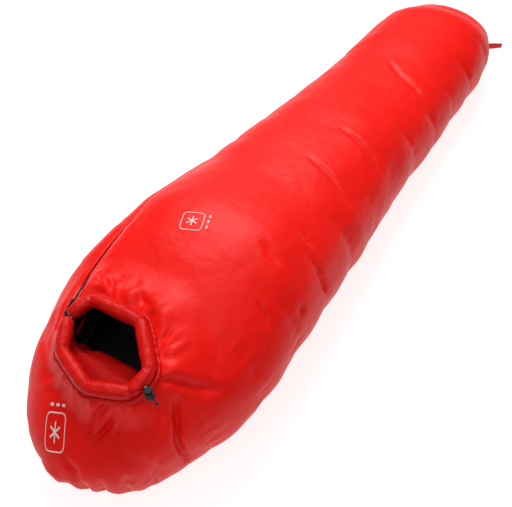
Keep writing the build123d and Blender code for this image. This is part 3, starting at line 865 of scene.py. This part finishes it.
# ---------------------------------------------------------------- face ring
zip_corner = int(np.argmin(np.hypot(*(RING_LOOP - RING_PTS[0]).T)))
soft_loop, _ = resample(fillet_loop(RING_PTS, 0.040), 210)
zip_corner = int(np.argmin(np.hypot(*(soft_loop - RING_PTS[0]).T)))
path2 = np.roll(soft_loop, -zip_corner, axis=0)
path2 = np.vstack([path2, path2[:1]])
path2, _ = resample(path2, 421, closed=False)
path2 = path2[3:-3]
cum = np.linspace(0, 1, len(path2))
pinch_at = []
for k in range(1, 7):
    pinch_at.append(cum[int(np.argmin(np.hypot(*(path2 - RING_PTS[k]).T)))])
pinch_at = [0.0] + sorted(pinch_at) + [1.0]
PINCH_R = {0: 0.0095, 1: 0.0142, 2: 0.0142, 3: 0.0150, 4: 0.0132, 5: 0.0145, 6: 0.0145, 7: 0.0090}


def ring_radius(f, ph):
    k = int(np.clip(np.searchsorted(pinch_at, f, side="right") - 1, 0, 6))
    t = (f - pinch_at[k]) / (pinch_at[k + 1] - pinch_at[k])
    ra, rb = PINCH_R[k], PINCH_R[k + 1]
    base = ra + (rb - ra) * t
    bulge = math.sin(math.pi * min(max(t, 0), 1)) ** 0.42
    r = base + (0.0174 - base) * bulge
    near = max(math.exp(-((t * (pinch_at[k + 1] - pinch_at[k]) / 0.018) ** 2)), math.exp(-(((1 - t) * (pinch_at[k + 1] - pinch_at[k]) / 0.018) ** 2)))
    r *= 1 + 0.06 * near * math.sin(ph * 7 + k * 2.1)
    r *= 1 + 0.07 * noise.noise(Vector((f * 30, math.cos(ph) * 1.3, math.sin(ph) * 1.3)))
    r *= 1 + 0.03 * noise.noise(Vector((f * 85, math.cos(ph) * 1.1, math.sin(ph) * 1.1 + 5)))
    return r


path3 = ring_point(path2[:, 0], path2[:, 1], np.full(len(path2), 0.0))
ring = sweep_tube("face_ring", path3, ring_radius, M_RING, sides=30, closed=False)

# welt at the ring's foot: a thin gathered edge
welt2, _ = resample(fillet_loop(RING_PTS, 0.026), 520)
dirv = np.roll(welt2, -1, 0) - np.roll(welt2, 1, 0)
dirv /= np.linalg.norm(dirv, axis=1)[:, None]
nrm = np.stack([dirv[:, 1], -dirv[:, 0]], 1)
if loop_distance(welt2[:1, 0] + nrm[:1, 0] * 0.01, welt2[:1, 1] + nrm[:1, 1] * 0.01)[0] < 0:
    nrm = -nrm
wave = np.array([noise.noise(Vector((i * 0.11, 0, 0))) for i in range(520)])
wave = wave * np.sin(np.linspace(0, math.pi, 520)) ** 0.3
wp = welt2 + nrm * (0.0185 + 0.0022 * wave)[:, None]
start = int(np.argmin(np.hypot(*(welt2 - RING_PTS[0]).T)))
wp = np.roll(wp, -start, axis=0)[9:-9]
wave = np.roll(wave, -start)[9:-9]
welt = sweep_tube(
    "ring_welt",
    ring_point(wp[:, 0], wp[:, 1], -0.0095 + 0.002 * wave),
    lambda f, ph: (0.0046, 0.0036),
    M_RING,
    sides=12,
    closed=False,
)

# ---------------------------------------------------------------- facing and lining
LIN = dict(side=0.057, top=0.065, bottom=0.041)


def build_lining():
    ys = np.concatenate([np.linspace(-1.009, -0.86, 16), np.linspace(-0.85, 0.86, 150), np.linspace(0.868, 1.009, 15)])
    nc = 72
    V, F = [], []
    for y in ys:
        O = outline(y * 1060 / 1007, **LIN)
        L = np.concatenate([[0], np.cumsum(np.hypot(*np.diff(O, axis=0).T))])
        s = np.linspace(0, L[-1], nc, endpoint=False)
        X, Z = np.interp(s, L, O[:, 0]), np.interp(s, L, O[:, 1])
        f = (y - HOOD_Y) / CHAMBER
        dist = abs(f - round(f)) * CHAMBER
        cx, cz = X.mean(), Z.mean()
        k = 1 - 0.035 * (1 - math.exp(-((dist / 0.035) ** 2)))
        X, Z = cx + (X - cx) * k, cz + (Z - cz) * k
        for a, b in zip(X, Z):
            V.append((a, y, b))
    V = np.array(V)
    x, v, w = ring_w(V[:, 0], V[:, 1], V[:, 2])
    rho = loop_distance(x, v)
    rho_foot = loop_distance(x, v - 0.035)
    n = len(ys)
    mats = []
    for j in range(n - 1):
        for i in range(nc):
            k = (i + 1) % nc
            q = (j * nc + i, j * nc + k, (j + 1) * nc + k, (j + 1) * nc + i)
            r = rho[list(q)].mean()
            z = V[list(q), 2].mean()
            if z > 0.16 and (r < 0.004 or rho_foot[q[0]] < 0.004):
                continue
            F.append(q)
            # painted shade: only the back of the hood (y below -0.90) keeps the red hood lining; further in, the
            # lining takes the near-black cloth to stand for the shade of the deep interior
            mats.append(0 if V[q[0], 1] < -0.90 else 1)
    V = list(V)
    for j, flip in ((0, True), (n - 1, False)):
        c = np.mean(np.array(V[j * nc : (j + 1) * nc]), axis=0)
        V.append(c)
        for i in range(nc):
            f = (j * nc + i, j * nc + (i + 1) % nc, len(V) - 1)
            F.append(f[::-1] if flip else f)
            # the foot end cap takes the near-black cloth as painted shade
            mats.append(0 if j == 0 else 1)
    o = new_object("lining", V, F, [M_HOODLIN, M_LINING])
    for p, m in zip(o.data.polygons, mats):
        p.material_index = m
    bm = bmesh.new()
    bm.from_mesh(o.data)
    bmesh.ops.delete(bm, geom=[v for v in bm.verts if not v.link_faces], context="VERTS")
    bm.to_mesh(o.data)
    bm.free()
    subdivide(o, 1)
    co, no = coords(o), normals(o)
    off = fbm(co, (9, 12, 9), 2.0, 2) * 0.004
    set_coords(o, co + no * off[:, None])
    return o


lining = build_lining()


def build_facing():
    n = 160
    loop, _ = resample(fillet_loop(RING_PTS, 0.026), n)
    d = np.roll(loop, -1, 0) - np.roll(loop, 1, 0)
    d /= np.linalg.norm(d, axis=1)[:, None]
    nn = np.stack([d[:, 1], -d[:, 0]], 1)
    if loop_distance(loop[:1, 0] + nn[:1, 0] * 0.01, loop[:1, 1] + nn[:1, 1] * 0.01)[0] < 0:
        nn = -nn
    rows = []
    steps = 9
    for k in range(steps):
        t = k / (steps - 1)
        foot = smooth((loop[:, 1] + 0.01) / 0.06)
        drop = 0.085 + 0.02 * foot
        out = -0.0135 + (0.020 + 0.040 * foot) * t
        p = loop + nn * out[:, None]
        wv = np.array([noise.noise(Vector((loop[i, 0] * 40, loop[i, 1] * 40, t * 2))) for i in range(n)])
        w = -0.006 - drop * t
        rows.append(ring_point(p[:, 0] + 0.004 * wv * t * nn[:, 0], p[:, 1] + 0.004 * wv * t * nn[:, 1], w * np.ones(n)))
    V = np.concatenate(rows)
    F = []
    for k in range(steps - 1):
        for i in range(n):
            j = (i + 1) % n
            F.append((k * n + i, k * n + j, (k + 1) * n + j, (k + 1) * n + i))
    o = new_object("opening_facing", V, F, [M_HOODLIN, M_LINING])
    side_v = np.tile(loop[:, 1], steps - 1)
    side_x = np.tile(loop[:, 0], steps - 1)
    # painted shade: the facing's foot side, where the opening's far wall lies in shade, takes the near-black lining;
    # the head side keeps the red hood lining
    for p, vv, xx in zip(o.data.polygons, side_v, side_x):
        p.material_index = 1 if vv > -0.030 + 0.02 * (xx > 0) else 0
    m = o.modifiers.new("thick", "SOLIDIFY")
    m.thickness = 0.0012
    m.offset = 0
    apply_modifiers(o)
    return o


facing = build_facing()



def build_puff():
    """The hood's lining swells up behind the head side of the opening."""
    n = 90
    loop, _ = resample(fillet_loop(RING_PTS, 0.034), 400)
    a = int(np.argmin(np.hypot(*(loop - np.array((-0.104, -0.012))).T)))
    b = int(np.argmin(np.hypot(*(loop - np.array((0.119, -0.034))).T)))
    seq = loop[a : b + 1] if loop[(a + 5) % 400, 1] < loop[a, 1] and a < b else None
    if seq is None:
        idx, i = [], a
        step = 1 if loop[(a + 5) % 400, 1] < loop[a, 1] else -1
        while i % 400 != b:
            idx.append(i % 400)
            i += step
        seq = loop[idx]
    q, _ = resample(seq, n, closed=False)
    crest = np.array([(-0.100, -0.016), (-0.084, -0.022), (-0.067, -0.020), (-0.052, -0.011), (-0.021, -0.009), (0.024, -0.006), (0.066, -0.006), (0.107, -0.020)])
    k, _ = resample(crest, n, closed=False)
    mid = np.array((0.0, -0.03))
    rows = []
    for t in np.concatenate([np.linspace(0, 1, 16), np.linspace(1.12, 2.0, 7)]):
        if t <= 1:
            inner = q + (mid - q) / np.linalg.norm(mid - q, axis=1)[:, None] * 0.0125
            p = inner + (k - inner) * t
            w = -0.006 - 0.064 * (t ** 1.15) - 0.012 * math.sin(math.pi * min(1, t * 1.6)) * (t < 0.63)
            w = w * np.ones(n)
        else:
            u = t - 1
            p = k + (k - q) * 0.05 * math.sin(u * math.pi / 2) + np.array((0, 0.020)) * (math.sin(u * math.pi * 0.6)) 
            w = (-0.070 - 0.085 * u ** 1.6) * np.ones(n)
        wr = np.array([noise.noise(Vector((x * 26, y * 26, 1.7))) for x, y in p]) * 0.007 * math.sin(math.pi * min(t, 1.5) / 2)
        rows.append(ring_point(p[:, 0], p[:, 1], w + wr))
    V = np.concatenate(rows)
    F = []
    for r in range(len(rows) - 1):
        for i in range(n - 1):
            F.append((r * n + i, r * n + i + 1, (r + 1) * n + i + 1, (r + 1) * n + i))
    o = new_object("hood_lining_puff", V, F, M_HOODLIN)
    m = o.modifiers.new("thick", "SOLIDIFY")
    m.thickness = 0.0012
    m.offset = 0
    apply_modifiers(o)
    return o


puff = build_puff()

# ---------------------------------------------------------------- draft collar and tube
COLLAR_Y, CA, CB, CR, CZ = -0.655, 0.176, 0.072, 0.064, 0.155
cl, _ = resample(fillet_loop(np.array([(CA, CB), (-CA, CB), (-CA, -CB), (CA, -CB)]), CR, 16), 220)
cpath = np.stack([cl[:, 0], np.full(220, COLLAR_Y), CZ + cl[:, 1]], 1)


def collar_radius(f, ph):
    g = 1 + 0.05 * math.sin(f * 2 * math.pi * 26 + 1.5 * math.sin(ph))
    return 0.0222 * g * (1 + 0.06 * noise.noise(Vector((f * 30, math.cos(ph), math.sin(ph)))))


collar = sweep_tube("draft_collar", cpath, collar_radius, M_LINING, sides=22, closed=True, flat=(0, 1, 0))

sd = np.linspace(0.024, ZR * ZA - 0.004, 190)
A, rad, tan = arc(sd)
dpath = A - rad * 0.033
verts, faces = [], []
sides = 20
for i in range(len(sd)):
    end = math.sqrt(max(1e-4, min(1, (sd[i] - sd[0]) / 0.02 + 0.02, (sd[-1] - sd[i]) / 0.02 + 0.02)))
    g = 1 + 0.05 * noise.noise(Vector((i * 0.35, 0, 0)))
    for j in range(sides):
        ph = 2 * math.pi * j / sides
        verts.append(dpath[i] + ZN * math.cos(ph) * 0.0078 * end * g + rad[i] * math.sin(ph) * 0.0115 * end * g)
for i in range(len(sd) - 1):
    for j in range(sides):
        faces.append((i * sides + j, i * sides + (j + 1) % sides, (i + 1) * sides + (j + 1) % sides, (i + 1) * sides + j))
for i, flip in ((0, False), (len(sd) - 1, True)):
    verts.append(dpath[i])
    for j in range(sides):
        f = (i * sides + (j + 1) % sides, i * sides + j, len(verts) - 1)
        faces.append(f[::-1] if flip else f)
draft = new_object("draft_tube", verts, faces, M_LINING)


# ---------------------------------------------------------------- zipper teeth
def build_teeth(name, sign):
    V, F = [], []
    s = np.arange(-0.0078, ZR * ZA + 0.0012, 0.0021)
    s = s + (0.00105 if sign > 0 else 0)
    for t in s:
        P, r, tn = arc(t)
        prof = [(0.0010, 0.0007), (0.0010, 0.0022), (0.0016, 0.0029), (0.0028, 0.0029), (0.0034, 0.0020), (0.0034, 0.0006)]
        base = len(V)
        for e in (-0.00068, 0.00068):
            for b, m_ in prof:
                V.append(P + tn * e + ZN * (sign * b) + r * m_)
        k = len(prof)
        for i in range(k):
            j = (i + 1) % k
            F.append((base + i, base + j, base + k + j, base + k + i))
        F.append(tuple(base + i for i in range(k))[::-1])
        F.append(tuple(base + k + i for i in range(k)))
    o = new_object(name, V, F, M_COIL, smooth_faces=False)
    bm = bmesh.new()
    bm.from_mesh(o.data)
    bmesh.ops.recalc_face_normals(bm, faces=bm.faces)
    bm.to_mesh(o.data)
    bm.free()
    return o


teeth_up = build_teeth("zip_teeth_upper", -1)
teeth_low = build_teeth("zip_teeth_lower", 1)


def build_edge_strip():
    """Pale stiffening tape that shows in the mouth of the zipper."""
    V, F = [], []
    st = np.linspace(0.016, 0.082, 24)
    for t in st:
        P, r, tn = arc(t)
        k = math.sin(math.pi * (t - st[0]) / (st[-1] - st[0])) ** 0.4
        for b, m_ in ((0.0088 - 0.0001, 0.0012), (0.0088 + 0.0034 * k, 0.0034), (0.0088 + 0.0034 * k, 0.0042), (0.0088 - 0.0004, 0.0022)):
            V.append(P + ZN * b + r * m_)
    n = len(st)
    for i in range(n - 1):
        for j in range(4):
            F.append((i * 4 + j, i * 4 + (j + 1) % 4, (i + 1) * 4 + (j + 1) % 4, (i + 1) * 4 + j))
    F.append((0, 1, 2, 3))
    F.append((n * 4 - 1, n * 4 - 2, n * 4 - 3, n * 4 - 4))
    return new_object("zip_edge_strip", V, F, M_STRIP, smooth_faces=False)


edge_strip = build_edge_strip()


# ---------------------------------------------------------------- foot loops
def build_loop(name, side):
    root = np.array((side * 0.140, 1.004, 0.100))
    ang = math.radians(40 if side > 0 else 140)
    u = np.array((math.cos(ang), math.sin(ang), 0))
    v = np.array((-math.sin(ang), math.cos(ang), 0))
    pts = []
    # out along one side, round the end, back along the other
    for t in np.linspace(0, 1, 26):
        pts.append((-0.008 + 0.074 * t, 0.0012 + 0.0042 * math.sin(math.pi * min(1, t * 1.02)) ** 0.8))
    for a in np.linspace(80, -80, 9):
        pts.append((0.0675 + 0.0042 * math.cos(math.radians(a)), 0.0034 * math.sin(math.radians(a))))
    for t in np.linspace(1, 0, 26):
        pts.append((-0.008 + 0.074 * t, -0.0012 - 0.0042 * math.sin(math.pi * min(1, t * 1.02)) ** 0.8))
    pts = np.array(pts)
    d = np.gradient(pts, axis=0)
    d /= np.linalg.norm(d, axis=1)[:, None]
    nn = np.stack([-d[:, 1], d[:, 0]], 1)
    V, F = [], []
    k = len(pts)
    cols = 5
    for i in range(k):
        for sgn in (1, -1):
            for c in range(cols):
                z = (c / (cols - 1) - 0.5) * 0.0156
                q = pts[i] + nn[i] * sgn * 0.0008
                sag = -0.0025 * max(0, pts[i, 0]) / 0.06
                V.append(root + u * q[0] + v * q[1] + np.array((0, 0, z + sag)))
    st = 2 * cols
    for i in range(k - 1):
        for c in range(cols - 1):
            F.append((i * st + c, i * st + c + 1, (i + 1) * st + c + 1, (i + 1) * st + c))
            F.append((i * st + cols + c + 1, i * st + cols + c, (i + 1) * st + cols + c, (i + 1) * st + cols + c + 1))
        for c, flip in ((0, False), (cols - 1, True)):
            f = (i * st + c, (i + 1) * st + c, (i + 1) * st + cols + c, i * st + cols + c)
            F.append(f[::-1] if flip else f)
    for i in (0, k - 1):
        for c in range(cols - 1):
            F.append((i * st + c, i * st + c + 1, i * st + cols + c + 1, i * st + cols + c))
    o = new_object(name, V, F, M_WEB)
    bm = bmesh.new()
    bm.from_mesh(o.data)
    bmesh.ops.recalc_face_normals(bm, faces=bm.faces)
    bm.to_mesh(o.data)
    bm.free()
    return o


loop_r = build_loop("foot_loop_right", 1)
loop_l = build_loop("foot_loop_left", -1)

# ---------------------------------------------------------------- prints
tree = BVHTree.FromObject(shell, bpy.context.evaluated_depsgraph_get())


def mark(name, at, look, right, polys, lift=0.0007):
    """Thin printed shapes laid on the shell. polys: outlines as quad strips in metres (x right, y up)."""
    at, look = Vector(at), Vector(look).normalized()
    r = Vector(right)
    r = (r - look * r.dot(look)).normalized()
    u = r.cross(look) * -1
    V, F = [], []
    for quads in polys:
        for quad in quads:
            idx = []
            for a, b in quad:
                o_ = at + r * a + u * b - look * 0.25
                hit, nor, _, _ = tree.ray_cast(o_, look)
                if hit is None:
                    idx = None
                    break
                if nor.dot(look) > 0:
                    nor = -nor
                V.append(hit + nor * lift)
                idx.append(len(V) - 1)
            if idx:
                F.append(tuple(idx))
    o = new_object(name, V, F, M_MARK)
    bm = bmesh.new()
    bm.from_mesh(o.data)
    bmesh.ops.remove_doubles(bm, verts=bm.verts, dist=1e-5)
    bm.to_mesh(o.data)
    bm.free()
    m = o.modifiers.new("t", "SOLIDIFY")
    m.thickness = 0.0003
    m.offset = 1
    apply_modifiers(o)
    return o


def rounded_square(half, corner, width, n=160):
    p, _ = resample(fillet_loop(np.array([(half, half), (-half, half), (-half, -half), (half, -half)]), corner, 12), n)
    d = np.roll(p, -1, 0) - np.roll(p, 1, 0)
    d /= np.linalg.norm(d, axis=1)[:, None]
    nn = np.stack([d[:, 1], -d[:, 0]], 1)
    a, b = p - nn * width / 2, p + nn * width / 2
    return [[tuple(a[i]), tuple(a[(i + 1) % n]), tuple(b[(i + 1) % n]), tuple(b[i])] for i in range(n)]


def bar(x0, y0, x1, y1, width, n=14):
    p, q = np.array((x0, y0)), np.array((x1, y1))
    d = (q - p) / np.linalg.norm(q - p)
    nn = np.array((-d[1], d[0])) * width / 2
    out = []
    for i in range(n):
        a, b = p + (q - p) * i / n, p + (q - p) * (i + 1) / n
        out.append([tuple(a + nn), tuple(b + nn), tuple(b - nn), tuple(a - nn)])
    return out


def emblem(s, kx=1.0, ky=1.0, top=False):
    shapes = [rounded_square(s, s * 0.45, s * 0.075)]
    for k in range(3):
        a = math.radians(30 + 60 * k)
        c, n_ = math.cos(a) * s * 0.55, math.sin(a) * s * 0.55
        shapes.append(bar(-c, -n_, c, n_, s * 0.12))
    for k in range(3):
        if top:
            shapes.append(bar(s * (-0.75 + 0.62 * k), -s * 1.4, s * (-0.40 + 0.62 * k), -s * 1.4, s * 0.16, 6))
        else:
            shapes.append(bar(s * 1.45, s * (-0.9 + 0.62 * k), s * 1.45, s * (-0.55 + 0.62 * k), s * 0.16, 6))
    return [[[(a * kx, b * ky) for a, b in quad] for quad in quads] for quads in shapes]


mark_chest = mark("chest_print", (-0.041, -0.455, 0.374), (0.20, 0.02, -1.0), (0.90, 0.36, 0.0), emblem(0.027))
mark_hood = mark("hood_print", (-0.024, -0.998, 0.210), (0.08, 0.72, -0.72), (0.903, 0.303, 0.303), emblem(0.030, 0.86, 1.40, True))

# ---------------------------------------------------------------- what rides on what
for o in (shell, ring, welt, facing, puff, lining, collar, draft, teeth_up, teeth_low, edge_strip, loop_r, loop_l, mark_chest, mark_hood):
    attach(o, "bag")
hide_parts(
    "hood_shell",
    "footbox_shell",
    "shell_top_panel",
    "shell_left_side_strip",
    "shell_bottom_panel",
    "hood_down",
    "footbox_down",
    "down_chambers_top",
    "down_chambers_bottom",
    "down_chambers_left_strip",
    "baffle_walls_top",
    "baffle_walls_left_strip",
    "baffle_walls_bottom",
)
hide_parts("face_ring_cover", "face_ring_fill")
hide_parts("face_opening_facing")
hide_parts("hood_lining", "footbox_lining", "lining_top_panel", "lining_left_side_strip", "lining_bottom_panel")
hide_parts("draft_collar_cover", "draft_collar_fill")
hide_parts("draft_tube_cover", "draft_tube_fill")
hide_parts("zip_coil_upper")
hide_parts("zip_coil_lower")
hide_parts("hang_loop_right")
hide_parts("hang_loop_left")

NODE_LOOK = {
    "face_drawcord": M_CORD,
    "face_drawcord_knot": M_CORD,
    "face_drawcord_eyelet": M_METAL,
    "face_cord_lock_barrel": M_LOCK,
    "face_cord_lock_plunger": M_LOCK,
    "face_cord_lock_spring": M_SPRING,
    "collar_drawcord": M_CORD,
    "collar_drawcord_knot": M_CORD,
    "collar_cord_lock_barrel": M_LOCK,
    "collar_cord_lock_plunger": M_LOCK,
    "collar_cord_lock_spring": M_SPRING,
    "zip_tape_upper": M_TAPE,
    "zip_tape_lower": M_TAPE,
    "zip_top_stops": M_METAL,
    "zip_bottom_stop": M_METAL,
    "zip_anti_snag_strip": M_STRIP,
    "zip_slider_body": M_METAL,
    "zip_puller_outer": M_METAL,
    "zip_pull_tab": M_WEBDARK,
    "zip_puller_inner": M_METAL,
}
for n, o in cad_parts.items():
    m = NODE_LOOK.get(n, M_LINING)
    o.data.materials.clear()
    o.data.materials.append(m)

# ---------------------------------------------------------------- floor and light
fl = new_object("floor", [(-9, -9, 0), (9, -9, 0), (9, 9, 0), (-9, 9, 0)], [(0, 1, 2, 3)], solid_material("floor", (0.30, 0.30, 0.30), 0.9, spec=0.0, bump=0.0), False)
glow = fl.data.materials[0].node_tree.nodes["Principled BSDF"]
glow.inputs["Emission Color"].default_value = (1, 1, 1, 1)
glow.inputs["Emission Strength"].default_value = 0.84

world = bpy.data.worlds.new("world")
scene.world = world
world.use_nodes = True
bg = world.node_tree.nodes["Background"]
bg.inputs["Color"].default_value = (1, 1, 1, 1)
bg.inputs["Strength"].default_value = 0.20


def area(name, at, target, size, power, colour=(1, 1, 1)):
    ld = bpy.data.lights.new(name, "AREA")
    ld.shape = "DISK"
    ld.size = size
    ld.energy = power
    ld.color = colour
    o = bpy.data.objects.new(name, ld)
    scene.collection.objects.link(o)
    o.location = at
    d = Vector(target) - Vector(at)
    o.rotation_euler = d.to_track_quat("-Z", "Y").to_euler()
    return o


area("key", (-1.35, 1.6, 3.5), (0, -0.15, 0.2), 2.8, 178)
area("fill", (0.5, -1.8, 3.7), (0, -0.6, 0.2), 2.4, 44)
